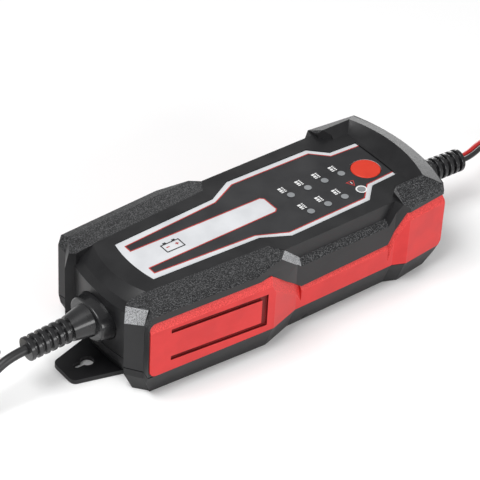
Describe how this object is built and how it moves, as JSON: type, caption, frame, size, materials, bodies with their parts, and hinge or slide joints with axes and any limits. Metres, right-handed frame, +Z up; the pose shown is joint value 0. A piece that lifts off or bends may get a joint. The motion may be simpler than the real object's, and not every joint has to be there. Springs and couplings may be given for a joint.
{
  "type": "car battery charger",
  "caption": "Long faceted case for charging car batteries, with coloured side panels, indicator windows, a push button, fixing tabs, a mains cord with plug and a battery lead.",
  "frame": {"origin": "middle of the case's underside, halfway between the two fixing tabs and the two side panels", "axes": "+X along the case towards the battery lead, +Y across it towards the back panel, +Z up"},
  "size_m": [0.524, 0.0977, 0.0552],
  "materials": {
    "case_black": "fine-grained black ABS, satin",
    "base_black": "fine-grained black ABS, satin",
    "panel_red": "satin red ABS",
    "button_red": "satin red-orange ABS",
    "label_film": "printed polyester film, silver and dark grey",
    "clear_plastic": "milky acrylic",
    "boot_rubber": "soft black PVC",
    "cord_black": "black PVC",
    "lead_red_black": "red and black PVC",
    "plug_black": "black PVC",
    "steel": "zinc-plated",
    "pin_brass": "nickel-plated brass",
    "board_green": "glass-fibre board",
    "dark_component": "moulded component case",
    "yellow_component": "film capacitor case",
    "ferrite": "ferrite",
    "winding_copper": "enamelled copper",
    "heatsink_metal": "plain aluminium",
    "sleeve_plastic": "capacitor sleeve",
    "fuse_glass": "ceramic fuse with metal caps",
    "strap_black": "strap"
  },
  "bodies": {
    "charger": {"upper_shell": "case_black", "lower_shell": "base_black", "shell_gasket": "boot_rubber", "side_panel_front": "panel_red", "side_panel_back": "panel_red", "housing_screws": "steel", "label_overlay": "label_film", "tact_switch": "dark_component", "light_guide": "clear_plastic", "indicator_leds": "clear_plastic", "display_board": "board_green", "display_board_screws": "steel", "main_board": "board_green", "main_board_screws": "steel", "board_link": "dark_component", "transformer_core": "ferrite", "transformer_winding": "winding_copper", "mains_capacitor": "sleeve_plastic", "output_capacitors": "sleeve_plastic", "x_capacitor": "yellow_component", "line_choke": "ferrite", "bridge_rectifier": "dark_component", "output_inductor": "winding_copper", "primary_heatsink": "heatsink_metal", "power_transistor": "dark_component", "output_heatsink": "heatsink_metal", "output_diode": "dark_component", "fuse": "fuse_glass", "fuse_clips": "steel", "mains_wires": "cord_black", "battery_wires": "lead_red_black", "mains_boot": "boot_rubber", "lead_boot": "boot_rubber", "mains_cord": "cord_black", "mains_cord_coil": "cord_black", "mains_cord_tail": "cord_black", "mains_plug": "plug_black", "mains_plug_pins": "pin_brass", "battery_lead": "lead_red_black", "battery_lead_coil": "lead_red_black", "battery_lead_tail": "lead_red_black", "lead_connector": "plug_black", "lead_connector_contacts": "pin_brass", "coil_ties": "strap_black"},
    "button": {"mode_button": "button_red", "switch_plunger": "dark_component"}
  },
  "joints": [
    {"name": "button_press", "type": "slide", "parent": "charger", "child": "button", "axis": [0, 0, -1], "range_m": [0, 0.0006], "stiffness_N_per_m": 1200}
  ]
}
